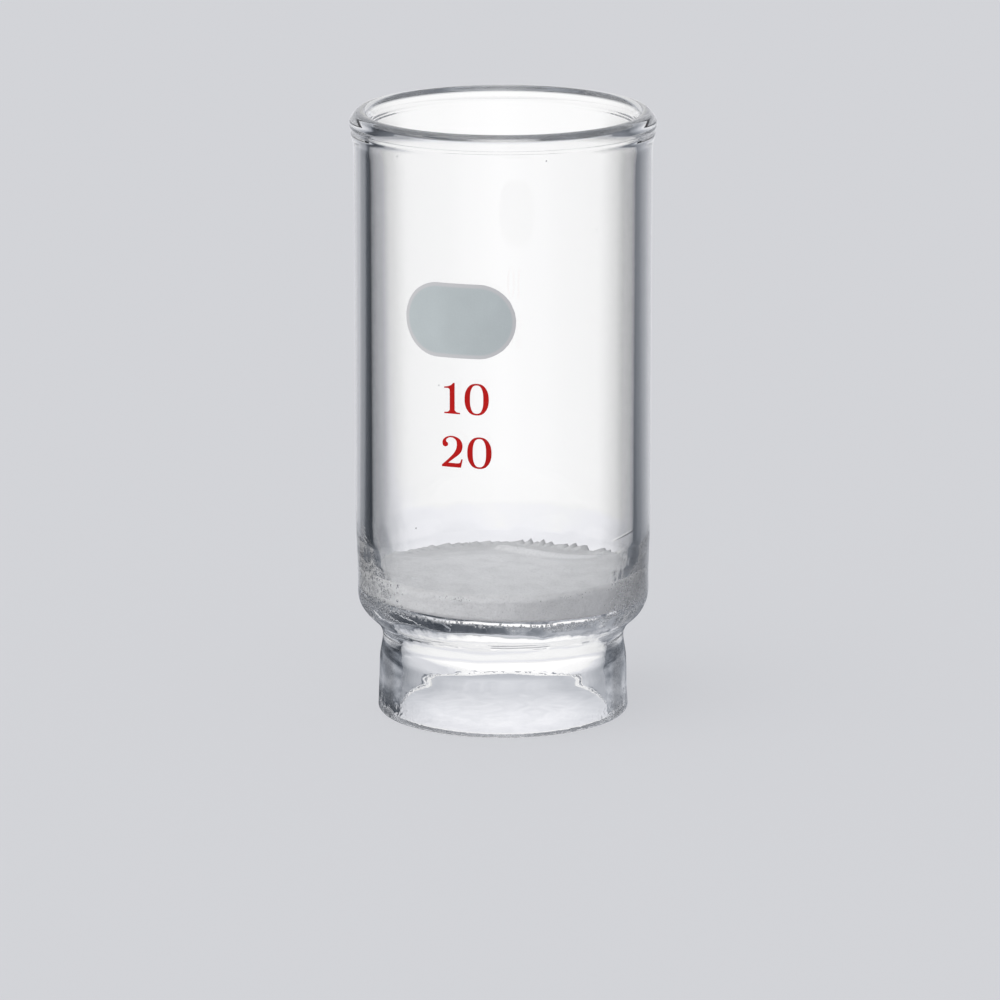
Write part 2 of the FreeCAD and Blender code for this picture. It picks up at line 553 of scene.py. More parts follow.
# How many bubbles lie along the disc's lower edge, along its upper edge and in how many clusters,
# and in the froth at its sides.
LOWER_ROW = 800
UPPER_ROW = 120
CLUSTERS = 16
FROTH = 650


# Where seeds, tiny bubbles of the tube, sit in the wall: degrees round from the front, height and
# radius.
SEEDS = (
    (-45.7, 63.0, 0.08),
    (17.0, 63.2, 0.1),
    (54.5, 47.7, 0.09),
    (54.0, 42.2, 0.1),
    (-36.8, 23.0, 0.1),
    (133.0, 51.0, 0.08),
    (-150.0, 33.0, 0.09),
)


# Fine lines that a tool left on the outside of the wall: degrees round from the front and height
# at one end, and at the other. They are this wide and this deep.
HAIRLINE_WIDTH = 0.08
HAIRLINE_DEPTH = 0.04
HAIRLINES = (
    (46.0, 21.2, 61.0, 21.65),
    (-73.0, 21.6, -67.5, 21.3),
    (-73.0, 21.2, -67.0, 20.8),
    (-72.5, 20.8, -66.0, 20.3),
    (-72.0, 20.3, -66.0, 19.8),
)


def hairline_height(tree, place):
    """The height of the fine lines at a place of the wall, in metres."""
    along = calculate(tree, "MULTIPLY", round_from_front(tree, place), BODY_RADIUS * MM)
    up = separated(tree, place)["Z"]
    unrolled = add_node(tree, "ShaderNodeCombineXYZ", {0: along, 1: up}).outputs[0]
    total = 0.0
    for first, low, last, high in HAIRLINES:
        start = Vector((math.radians(first) * BODY_RADIUS, low, 0)) * MM
        run = Vector((math.radians(last) * BODY_RADIUS, high, 0)) * MM - start
        way = run.normalized()
        half = run.length / 2
        away = vector_math(tree, "SUBTRACT", unrolled, start + run / 2).outputs[0]
        down = vector_math(tree, "DOT_PRODUCT", away, way).outputs["Value"]
        across = vector_math(tree, "DOT_PRODUCT", away, way.cross(Vector((0, 0, 1)))).outputs["Value"]
        near = bell(tree, calculate(tree, "DIVIDE", across, HAIRLINE_WIDTH * MM))
        within = mapped(tree, calculate(tree, "ABSOLUTE", down), half, half * 0.5)
        total = calculate(tree, "MULTIPLY_ADD", near, within, total)
    outside = calculate(tree, "GREATER_THAN", from_axis(tree, place), (BODY_RADIUS - WALL / 2) * MM)
    return product(tree, total, outside, -HAIRLINE_DEPTH * MM)


# Zones of the marks on worked glass, as the heights in millimetres from which and to which they
# grow, and the broken ring lines that a shaping tool leaves under the shoulder: height and depth.
SOFTENED = (7.5, 11.0)
COOLED = (21.5, 16.5)
GROUND = (2.8, 0.8)
RINGS = ((10.1, 0.07), (10.4, 0.04))
RING_WIDTH = 0.12
CHIP_DEPTH = 0.04


def grown(tree, up, zone):
    """0 to 1 through a zone of heights in millimetres, from a height in metres."""
    low, high = zone
    return mapped(tree, up, low * MM, high * MM, smooth=True)


def surface_height_group():
    """A group that gives the height of marks on worked glass, in metres, from a place in metres:
    ripples at the seal and shoulder, chips of the ground foot, hairlines and broken ring lines."""
    sockets = {"Place": "Vector", "Ripple": "Float"}
    tree, inputs = new_group("worked_surface", sockets, {"Height": "Float"})
    place = inputs["Place"]
    up = separated(tree, place)["Z"]
    zone = product(tree, grown(tree, up, SOFTENED), grown(tree, up, COOLED))
    stretched = vector_math(tree, "MULTIPLY", place, (1.0, 1.0, 0.45)).outputs[0]
    ripples = product(tree, noise_value(tree, stretched, 900.0, 1.5), zone, inputs["Ripple"])
    cuts = noise_value(tree, place, 1500.0, 3.0, noise_type="RIDGED_MULTIFRACTAL")
    chips = product(tree, cuts, grown(tree, up, GROUND), CHIP_DEPTH * MM)
    marks = calculate(tree, "ADD", ripples, chips)
    marks = calculate(tree, "ADD", marks, hairline_height(tree, place))
    shown = mapped(tree, noise_value(tree, place, 130.0), 0.5, 0.56, smooth=True)
    for height, depth in RINGS:
        away = calculate(tree, "SUBTRACT", up, height * MM)
        near = bell(tree, calculate(tree, "DIVIDE", away, RING_WIDTH * MM))
        marks = calculate(tree, "ADD", marks, product(tree, near, shown, -depth * MM))
    add_node(tree, "NodeGroupOutput", {0: marks})
    return tree


# Heights in millimetres between which the painted shade of the straight wall, the painted dark strips of the
# collar and the painted grey of the rim's crest fade in.
WALL_PAINTED_SHADE = (11.5, 16.5)
COLLAR_PAINTED_SHADE = (9.5, 8.5)
CREST_PAINTED_SHADE = (RIM_HEIGHT - 0.68, RIM_HEIGHT - 0.52)
# The grey of the painted shade on the rim's crest.
CREST_SHADE_COLOUR = (0.47, 0.48, 0.49)
SHADOW_COLOUR = (0.96, 0.965, 0.97)


def glass_material(settings):
    """Clear glass with painted shade: upright walls are painted darker where they are seen nearly edge on,
    the collar has painted dark strips at its sides, and the crest of the rim is painted greyer."""
    made, tree, shader = material_nodes("clear_glass")
    place = add_node(tree, "ShaderNodeTexCoord").outputs["Object"]
    up = separated(tree, place)["Z"]
    path = add_node(tree, "ShaderNodeLightPath")
    # The painted shade goes only on light that no matt surface has scattered yet.
    direct = calculate(tree, "LESS_THAN", path.outputs["Diffuse Depth"], 0.5)
    normal = add_node(tree, "ShaderNodeNewGeometry").outputs["Normal"]
    upright = mapped(tree, calculate(tree, "ABSOLUTE", separated(tree, normal)["Z"]), 0.45, 0.1, smooth=True)
    facing = add_node(tree, "ShaderNodeLayerWeight", {"Blend": 0.5}).outputs["Facing"]
    # Painted shade: the wall gets darker the more nearly edge on it is seen.
    edge = settings.edge_painted_shade
    edge_shade = ramp(tree, facing, [(0.0, 1.0), (0.31, 1.0), (0.47, 0.5 + 0.5 * edge), (0.6, edge), (1.0, edge)])
    below_rim = mapped(tree, up, BORE_TOP * MM, FLARE_BOTTOM * MM)
    in_cup = mapped(tree, up, WALL_PAINTED_SHADE[0] * MM, WALL_PAINTED_SHADE[1] * MM)
    dimmed = product(tree, upright, direct, product(tree, below_rim, in_cup))
    colour = mixed(tree, dimmed, (1, 1, 1, 1), edge_shade)
    # Painted dark strips at the collar's sides, where it is seen nearly edge on.
    painted_strips = ramp(tree, facing, [(0.5, 1.0), (0.59, 0.45), (0.67, 0.5), (0.8, 1.0)])
    in_collar = mapped(tree, up, COLLAR_PAINTED_SHADE[0] * MM, COLLAR_PAINTED_SHADE[1] * MM)
    outside = calculate(tree, "GREATER_THAN", from_axis(tree, place), (COLLAR_RADIUS - COLLAR_WALL / 2) * MM)
    colour = mixed(tree, product(tree, upright, direct, in_collar, outside), colour, painted_strips)
    # Painted grey shade on the rim's crest.
    on_crest = mapped(tree, up, CREST_PAINTED_SHADE[0] * MM, CREST_PAINTED_SHADE[1] * MM)
    colour = mixed(tree, product(tree, on_crest, direct), colour, (*CREST_SHADE_COLOUR, 1))
    worked = {"Place": place, "Ripple": settings.ripple * MM}
    height = add_node(tree, "ShaderNodeGroup", worked, node_tree=surface_height_group()).outputs["Height"]
    bump = add_node(tree, "ShaderNodeBump", {"Height": height, "Distance": 1.0}).outputs[0]
    fill(tree, shader, {"Base Color": colour, "Roughness": 0.0, "IOR": settings.ior,
                        "Transmission Weight": 1.0, "Normal": bump})
    shadow = add_node(tree, "ShaderNodeBsdfTransparent", {"Color": (*SHADOW_COLOUR, 1)})
    show_mixed(tree, path.outputs["Is Shadow Ray"], shader, shadow)
    return made


class GlassSettings(PropertyGroup):
    """What a user would change on the glass."""

    segments: IntProperty(name="Segments", description="Faces around the glass", default=264, min=48)
    ior: FloatProperty(name="IOR", description="Refractive index of the glass", default=1.474, min=1.0)
    # Painted shade at the walls' edges: the light left where a wall is seen edge on.
    edge_painted_shade: FloatProperty(
        name="Edge tint", description="Light left where a wall is seen edge on", default=0.49, min=0.0,
        max=1.0, subtype="FACTOR")
    ripple: FloatProperty(
        name="Ripple", description="Height of the ripples at the seal, in millimetres", default=0.03, min=0.0)


class CRUCIBLE_OT_glass(Operator):
    """Add the glass: cup, rim, seal, shoulder and collar"""

    bl_idname = "crucible.glass"
    bl_label = "Glass"

    def execute(self, context):
        settings = context.scene.crucible_glass
        glass = turned_mesh("glass", glass_outline(), settings.segments, hand_worked, extras=add_bubbles)
        glass.data.materials.append(glass_material(settings))
        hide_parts("glass_body")
        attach(glass, "root")
        return {"FINISHED"}


# Sintered disc

# The teeth of the disc's back edge are this many degrees wide.
TOOTH_DEGREES = 5.2
# A soft fold on the disc's top, as places from the axis, and how high and wide it is. On its
# gentle side it is as many times wider.
FOLD = ((-0.3, 8.4), (1.2, 5.6), (3.8, 3.7), (7.0, 2.8), (10.4, 2.4))
FOLD_HEIGHT = 0.55
FOLD_WIDTH = 0.5
GENTLE_SIDE = 3
# How far the disc's grainy edge and its sagging top wander, coarsely and finely.
GRAIN = (0.05, 0.06)
SAG = (0.16, 0.05)


def fold_height(place):
    """The height of the fold at a place of the disc's top: steep towards the back."""
    nearest = DISC_RADIUS
    for start, end in zip(FOLD, FOLD[1:]):
        first = Vector(start)
        run = Vector(end) - first
        share = min(max((place - first).dot(run) / run.length_squared, 0), 1)
        away = place - (first + run * share)
        nearest = min(nearest, away.length if run.cross(away) < 0 else away.length / GENTLE_SIDE)
    return FOLD_HEIGHT * math.exp(-(nearest / FOLD_WIDTH) ** 2)


def torn_edge(radius, angle):
    """How high the teeth of the disc's back edge stand: each rises to one side and breaks off."""
    round_about = Vector((math.sin(angle), -math.cos(angle), 0))
    in_ring = between(12.0, 13.0, radius) * (1 - between(13.8, 14.4, radius))
    at_back = between(0.2, 0.5, -math.cos(angle))
    place = math.degrees(angle) / TOOTH_DEGREES + 1.6 * noise.noise(round_about * 4)
    step = 0.3 + 1.1 * abs(noise.noise(Vector((1.37 * math.floor(place), 2.1, 0.4))))
    on_right = between(0.05, 0.35, math.sin(angle))
    on_left = between(0.4, 0.6, -math.sin(angle))
    return in_ring * at_back * step * (1 - place % 1.0) * (0.3 + 0.7 * on_right + 0.3 * on_left)


def disc_surface(radius, angle, height):
    """Moves a point of the disc: a grainy edge, a top that sagged a little as it sintered, with a
    fold and a ragged back edge."""
    here = Vector((math.sin(angle), -math.cos(angle), 0)) * radius + Vector((0, 0, height))
    grain = GRAIN[1] * noise.noise(here / 0.45) + GRAIN[0] * noise.noise(here / 1.1)
    at_side = between(DISC_RADIUS - 1.0, DISC_RADIUS - 0.1, radius)
    top = between(DISC_BOTTOM + 1.5, DISC_TOP - 0.4, height)
    sag = SAG[0] * noise.noise(here / 5.5 + Vector((3, 1, 0))) + SAG[1] * noise.noise(here / 1.6)
    raised = fold_height(here.xy) - abs(sag) * (1 - between(9.5, 12.0, radius)) + torn_edge(radius, angle)
    moved = skew(angle, height) - lies_lower(radius, angle, height)
    return radius + at_side * grain, height + moved + top * raised + 0.4 * at_side * grain


# The disc's top has painted shade, darker from the first to the last of these places towards the
# back, in millimetres, down to this share.
BACK_SHADE = (2.0, 13.0, 0.84)


def disc_material(settings):
    """Sintered glass: pale, matt and finely grained, with open pores in painted shade, and painted shade that
    darkens it towards the back.
    """
    made, tree, shader = material_nodes("sintered_glass")
    place = add_node(tree, "ShaderNodeTexCoord").outputs["Object"]
    grains = noise_value(tree, place, 5200.0)
    grain_shade = ramp(tree, grains, [(0.28, 0.86), (0.5, 0.97), (0.74, 1.0)])
    patch_shade = ramp(tree, noise_value(tree, place, 420.0, 3.0), [(0.3, 0.93), (0.6, 1.0)])
    pores = add_node(tree, "ShaderNodeTexVoronoi", {"Vector": place, "Scale": 2300.0}).outputs["Distance"]
    # Painted shade in the open pores, darkest at their middles.
    painted_pore_shade = ramp(tree, pores, [(0.0, 0.8), (0.22, 1.0)])
    shade = mixed(tree, 1.0, grain_shade, patch_shade, "MULTIPLY")
    shade = mixed(tree, 1.0, shade, painted_pore_shade, "MULTIPLY")
    start, end, least = BACK_SHADE
    # Painted shade, darker towards the back.
    painted_back_shade = mapped(tree, separated(tree, place)["Y"], start * MM, end * MM, 1.0, least)
    shade = scaled(tree, shade, painted_back_shade)
    colour = mixed(tree, 1.0, shade, (*settings.colour, 1), "MULTIPLY")
    height = calculate(tree, "ADD", grains, pores)
    bump = add_node(tree, "ShaderNodeBump", {"Height": height, "Strength": 0.4, "Distance": 0.07 * MM})
    fill(tree, shader, {"Base Color": colour, "Roughness": 0.75, "Normal": bump.outputs[0]})
    return made


class DiscSettings(PropertyGroup):
    """What a user would change on the sintered disc."""

    colour: FloatVectorProperty(
        name="Colour", description="Colour of the sintered glass", default=(0.94, 0.94, 0.95), min=0.0,
        max=1.0, subtype="COLOR")
    segments: IntProperty(name="Segments", description="Faces around the disc", default=340, min=48)


class CRUCIBLE_OT_disc(Operator):
    """Add the sintered disc that is sealed across the cup"""

    bl_idname = "crucible.disc"
    bl_label = "Sintered disc"

    def execute(self, context):
        settings = context.scene.crucible_disc
        corners = [
            (0, DISC_BOTTOM, 0.0),
            (DISC_RADIUS, DISC_BOTTOM, 0.5),
            (DISC_RADIUS, DISC_TOP - DISC_FALL, 0.8),
            (DISC_FLAT, DISC_TOP, 1.5),
            (0, DISC_TOP, 0.0),
        ]
        outline = rounded_outline(corners, longest_run=0.3, closed=False)
        disc = turned_mesh("disc", outline, settings.segments, disc_surface, closed=False)
        disc.data.materials.append(disc_material(settings))
        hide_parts("sintered_disc")
        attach(disc, "root")
        return {"FINISHED"}


# Enamel spot and printed numbers

def smooth_loop(points, steps=6):
    """A closed loop through points of (along, up): smooth, but sharp at those that end in True."""
    count = len(points)
    places = [Vector(point[:2]) for point in points]
    sharp = [len(point) > 2 for point in points]
    loop = []
    for i in range(count):
        a, b = places[i], places[(i + 1) % count]
        before = a - (b - a) if sharp[i] else places[i - 1]
        after = b + (b - a) if sharp[(i + 1) % count] else places[(i + 2) % count]
        if sharp[i] and sharp[(i + 1) % count]:
            loop.append(a)
            continue
        for k in range(steps):
            t = k / steps
            slope_a = (b - before) / 2
            slope_b = (after - a) / 2
            blend = 2 * t ** 3 - 3 * t ** 2
            place = a * (blend + 1) + b * -blend
            loop.append(place + slope_a * (t ** 3 - 2 * t ** 2 + t) + slope_b * (t ** 3 - t ** 2))
    return loop


def field_on_wall(name, loops, proud, sink, step=0.35):
    """A thin field with the outline of closed loops on the unrolled wall, wrapped onto the wall."""
    mesh = bmesh.new()
    for loop in loops:
        corners = [mesh.verts.new((place.x, place.y, 0)) for place in loop]
        for first, second in zip(corners, corners[1:] + corners[:1]):
            mesh.edges.new((first, second))
    bmesh.ops.triangle_fill(mesh, edges=mesh.edges, use_beauty=True, use_dissolve=False)
    low = min(vertex.co.x for vertex in mesh.verts)
    high = max(vertex.co.x for vertex in mesh.verts)
    for k in range(1, math.ceil((high - low) / step)):
        everything = [*mesh.verts, *mesh.edges, *mesh.faces]
        bmesh.ops.bisect_plane(mesh, geom=everything, plane_co=(low + k * step, 0, 0), plane_no=(1, 0, 0))
    base = list(mesh.faces)
    made = bmesh.ops.extrude_face_region(mesh, geom=base)
    outer = {item for item in made["geom"] if isinstance(item, bmesh.types.BMVert)}
    bmesh.ops.delete(mesh, geom=[face for face in base if face.is_valid], context="FACES_ONLY")
    for vertex in mesh.verts:
        radius = BODY_RADIUS + proud if vertex in outer else BODY_RADIUS - sink
        vertex.co = on_wall(vertex.co.x, vertex.co.y, radius)
    piece = finished_mesh(name, mesh)
    for face in piece.data.polygons:
        face.use_smooth = False
    return piece


SPOT_WIDTH = 12.4
SPOT_ANGLE = math.radians(-17.3)
SPOT_PROUD = 0.06
SPOT_SINK = 0.03


def spot_loop():
    """The oval of the enamel spot, on the unrolled wall: straight above and below, round at the
    ends, with the slight wander of a screened edge."""
    half_height = (SPOT_TOP - SPOT_BOTTOM) / 2
    straight = SPOT_WIDTH / 2 - half_height
    middle = (SPOT_TOP + SPOT_BOTTOM) / 2
    loop = []
    for k in range(160):
        turn = math.tau * k / 160
        side = 1 if math.cos(turn) > 0 else -1
        place = Vector((side * straight + half_height * math.cos(turn), half_height * math.sin(turn)))
        wander = 0.03 * noise.noise(Vector((place.x, place.y, 4)))
        place *= 1 - abs(wander) / half_height
        loop.append(place + Vector((SPOT_ANGLE * BODY_RADIUS, middle)))
    return loop


def spot_edge(tree, place):
    """1 along the edge of the enamel spot, where it ran a little thinner, and 0 within."""
    angle = calculate(tree, "SUBTRACT", round_from_front(tree, place), SPOT_ANGLE)
    half_height = (SPOT_TOP - SPOT_BOTTOM) / 2
    along = calculate(tree, "MULTIPLY", calculate(tree, "ABSOLUTE", angle), BODY_RADIUS)
    past_straight = calculate(tree, "SUBTRACT", along, SPOT_WIDTH / 2 - half_height)
    past_straight = calculate(tree, "MAXIMUM", past_straight, 0.0)
    up = calculate(tree, "MULTIPLY_ADD", separated(tree, place)["Z"], 1 / MM, -(SPOT_TOP + SPOT_BOTTOM) / 2)
    reach = add_node(tree, "ShaderNodeCombineXYZ", {0: past_straight, 1: up}).outputs[0]
    length = vector_math(tree, "LENGTH", reach).outputs["Value"]
    return mapped(tree, length, half_height - 0.5, half_height - 0.3)


def print_surface_group():
    """A group that gives the shade and height of a fired print: fine specks on a faint cloud."""
    sockets = {"Place": "Vector", "Unevenness": "Float"}
    tree, inputs = new_group("fired_print", sockets, {"Shade": "Color", "Height": "Float"})
    cloud = noise_value(tree, inputs["Place"], 240.0)
    specks = noise_value(tree, inputs["Place"], 6000.0, 1.0)
    both = calculate(tree, "ADD", product(tree, cloud, 0.7), product(tree, specks, 0.3))
    dark = mapped(tree, both, 0.35, 0.65)
    lost = product(tree, calculate(tree, "SUBTRACT", 1.0, dark), inputs["Unevenness"])
    add_node(tree, "NodeGroupOutput", {"Shade": calculate(tree, "SUBTRACT", 1.0, lost), "Height": specks})
    return tree


def print_material(name, colour, unevenness, gloss, rim=None):
    """A fired colour with a satin skin. rim gives a mask and a colour for its edge."""
    made, tree, shader = material_nodes(name)
    place = add_node(tree, "ShaderNodeTexCoord").outputs["Object"]
    group = bpy.data.node_groups.get("fired_print") or print_surface_group()
    surface = add_node(tree, "ShaderNodeGroup", {"Place": place, "Unevenness": unevenness}, node_tree=group)
    tinted = mixed(tree, 1.0, surface.outputs["Shade"], (*colour, 1), "MULTIPLY")
    if rim:
        edge_mask, edge_colour = rim
        tinted = mixed(tree, edge_mask(tree, place), tinted, (*edge_colour, 1))
    height = surface.outputs["Height"]
    bump = add_node(tree, "ShaderNodeBump", {"Height": height, "Strength": 0.25, "Distance": 0.02 * MM})
    fill(tree, shader, {"Base Color": tinted, "Roughness": 0.45, "Specular IOR Level": gloss,
                        "Normal": bump.outputs[0]})
    return made


class SpotSettings(PropertyGroup):
    """What a user would change on the enamel spot."""

    colour: FloatVectorProperty(
        name="Colour", description="Colour of the enamel", default=(0.53, 0.58, 0.59), min=0.0, max=1.0,
        subtype="COLOR")
    edge_colour: FloatVectorProperty(
        name="Edge colour", description="Colour of the enamel's edge", default=(0.6, 0.6, 0.61), min=0.0,
        max=1.0, subtype="COLOR")


class CRUCIBLE_OT_spot(Operator):
    """Add the oval enamel spot to write on"""

    bl_idname = "crucible.spot"
    bl_label = "Enamel spot"

    def execute(self, context):
        spot = field_on_wall("spot", [spot_loop()], SPOT_PROUD, SPOT_SINK)
        settings = context.scene.crucible_spot
        rim = (spot_edge, tuple(settings.edge_colour))
        spot.data.materials.append(print_material("grey_enamel", tuple(settings.colour), 0.07, 0.4, rim))
        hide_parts("enamel_spot")
        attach(spot, "root")
        return {"FINISHED"}


# Outlines of the digits, in units of their height: along, up, and True at a sharp corner.
SHARP = True
DIGITS = {
    "0": (
        ((0.0, 0.5), (0.035, 0.24), (0.16, 0.045), (0.34, -0.01), (0.52, 0.045), (0.645, 0.24), (0.68, 0.5),
         (0.645, 0.76), (0.52, 0.955), (0.34, 1.01), (0.16, 0.955), (0.035, 0.76)),
        ((0.155, 0.5), (0.17, 0.74), (0.235, 0.91), (0.34, 0.955), (0.445, 0.91), (0.51, 0.74), (0.525, 0.5),
         (0.51, 0.26), (0.445, 0.09), (0.34, 0.045), (0.235, 0.09), (0.17, 0.26)),
    ),
    "1": (
        ((0.0, 0.0, SHARP), (0.46, 0.0, SHARP), (0.46, 0.045, SHARP), (0.36, 0.06), (0.31, 0.12),
         (0.305, 0.2), (0.305, 1.0, SHARP), (0.265, 1.0, SHARP), (0.19, 0.92), (0.09, 0.875),
         (0.0, 0.86, SHARP), (0.0, 0.815, SHARP), (0.1, 0.82), (0.15, 0.79), (0.16, 0.72), (0.16, 0.2),
         (0.155, 0.12), (0.1, 0.06), (0.0, 0.045, SHARP)),
    ),
    "2": (
        ((0.0, 0.0, SHARP), (0.56, 0.0, SHARP), (0.61, 0.27, SHARP), (0.565, 0.27, SHARP), (0.535, 0.17),
         (0.46, 0.135), (0.19, 0.135, SHARP), (0.35, 0.28), (0.52, 0.44), (0.595, 0.6), (0.595, 0.79),
         (0.5, 0.94), (0.31, 1.01), (0.13, 0.965), (0.025, 0.84), (0.03, 0.7), (0.1, 0.65), (0.175, 0.69),
         (0.18, 0.77), (0.13, 0.82), (0.145, 0.9), (0.25, 0.96), (0.37, 0.93), (0.435, 0.82), (0.43, 0.64),
         (0.36, 0.47), (0.21, 0.28), (0.0, 0.06, SHARP)),
    ),
}
DIGIT_HEIGHT = 3.36
DIGIT_WIDENING = 1.14
DIGIT_GAP = 0.13
PRINT_ANGLE = math.radians(-14.1)
PRINT_LINES = (("10", 37.83), ("20", 32.04))
PRINT_PROUD = 0.025
PRINT_SINK = 0.015


def number_loops(text, middle):
    """The outlines of a number, centred on the print's angle and on a height of the wall."""
    widths = [max(point[0] for point in DIGITS[digit][0]) for digit in text]
    total = sum(widths) + DIGIT_GAP * (len(text) - 1)
    along = -total / 2
    loops = []
    for digit, width in zip(text, widths):
        for outline in DIGITS[digit]:
            loop = smooth_loop(outline)
            start = Vector((along, -0.5))
            centre = Vector((PRINT_ANGLE * BODY_RADIUS, middle))
            scale = Vector((DIGIT_HEIGHT * DIGIT_WIDENING, DIGIT_HEIGHT))
            loops.append([(place + start) * scale + centre for place in loop])
        along += width + DIGIT_GAP
    return loops


class PrintSettings(PropertyGroup):
    """What a user would change on the printed numbers."""

    colour: FloatVectorProperty(
        name="Colour", description="Colour of the print", default=(0.56, 0.01, 0.009), min=0.0, max=1.0,
        subtype="COLOR")


class CRUCIBLE_OT_numbers(Operator):
    """Add the two printed numbers under the enamel spot"""

    bl_idname = "crucible.numbers"
    bl_label = "Printed numbers"

    def execute(self, context):
        colour = tuple(context.scene.crucible_numbers.colour)
        material = print_material("red_print", colour, 0.12, 0.12)
        for text, middle in PRINT_LINES:
            number = field_on_wall("number_" + text, number_loops(text, middle), PRINT_PROUD, PRINT_SINK)
            number.data.materials.append(material)
            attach(number, "root")
        return {"FINISHED"}


# Studio

FLOOR_COLOUR = (0.657, 0.664, 0.692)
FLOOR_GLOW = 0.8
FLOOR_GAP = 0.02
# Light in the rim and the seal turns many times before it leaves.
MOST_BOUNCES = 64
MOST_REFLECTIONS = 48
CAMERA_BACK = 0.6108
CAMERA_HEIGHT = 0.1753
CAMERA_ASIDE = -0.00033
CAMERA_PITCH = math.radians(14.0)
CAMERA_LENS = 208.7

# How bright the studio is, seen through the glass, by the direction from straight behind it, in
# degrees, with the left negative. Straight is for light that only passes through the glass, and
# folded for light that its surfaces also reflect.
STRAIGHT = {
    -180: 1.0, -110: 0.95, -75: 0.8, -45: 0.72, -28: 0.66, -21: 0.86, -14: 0.97, -6: 1.01, 0: 1.02,
    12: 1.02, 22: 1.01, 30: 0.95, 45: 0.85, 75: 0.85, 110: 0.95, 180: 1.0,
}
FOLDED = {
    -180: 0.7, -152: 0.5, -132: 0.4, -108: 0.34, -90: 0.26, -62: 0.1, -48: 0.03, -42: 0.08, -35: 0.4,
    -20: 0.7, 0: 1.0, 14: 0.8, 26: 0.54, 34: 0.42, 44: 0.27, 52: 0.14, 66: 0.2, 90: 0.28, 110: 0.25,
    128: 0.27, 152: 0.6, 180: 0.7,
}
# A factor on straight light by the distance from the axis at which it ends, in millimetres. It gets
# dimmer to the sides, between these shares of that distance, and close by, between these distances.
BEHIND = {0: 1.1, 34: 1.2, 46: 0.96, 62: 0.87, 76: 0.93, 92: 0.985, 112: 1.0, 120: 1.0}
SIDEWAYS = (0.6, 0.85)
CLOSE = (38, 28)
# Folded light that ends on the floor around the foot, on the left and on the right, by the distance
# from the axis in millimetres. It gives way to FOLDED further out.
NEAR_LEFT = {0: 0.16, 9: 0.06, 15: 0.06, 20: 0.36, 24: 0.33, 27: 0.12, 31: 0.06, 36: 0.1, 42: 0.24, 60: 0.3}
NEAR_RIGHT = {0: 0.3, 9: 0.34, 15: 0.44, 19: 0.47, 24: 0.33, 28: 0.2, 33: 0.13, 40: 0.18, 60: 0.3}
NEAR_ENDS = (35, 65)
# Painted shadow of the foot and the disc on the floor inside the collar and under the foot, seen
# through it, by the distance from the axis in millimetres. It gets darker towards the back, by this much for
# each metre.
FOOT_SHADOW = {0: 0.82, 7: 0.8, 10.5: 0.69, 12.4: 0.72, 13.2: 0.2, 13.9: 0.1, 14.5: 0.6}
FOOT_SHADOW_ENDS = (14.2, 14.6)
FOOT_SHADOW_LEAN = 22.0
# The cool tint of what is seen through the glass: powers of red, green and blue, and a gain of blue
# up to a level.
TINT_POWERS = (1.05, 1.0, 0.94)
BLUE_GAIN = 1.035
BLUE_LEVEL = 0.975


def table_ramp(tree, value, table):
    """A ramp through a table of greys, by a value in the units of its keys."""
    low = min(table)
    reach = max(table) - low
    share = calculate(tree, "MULTIPLY_ADD", value, 1 / reach, -low / reach)
    return ramp(tree, share, [((key - low) / reach, grey) for key, grey in table.items()])


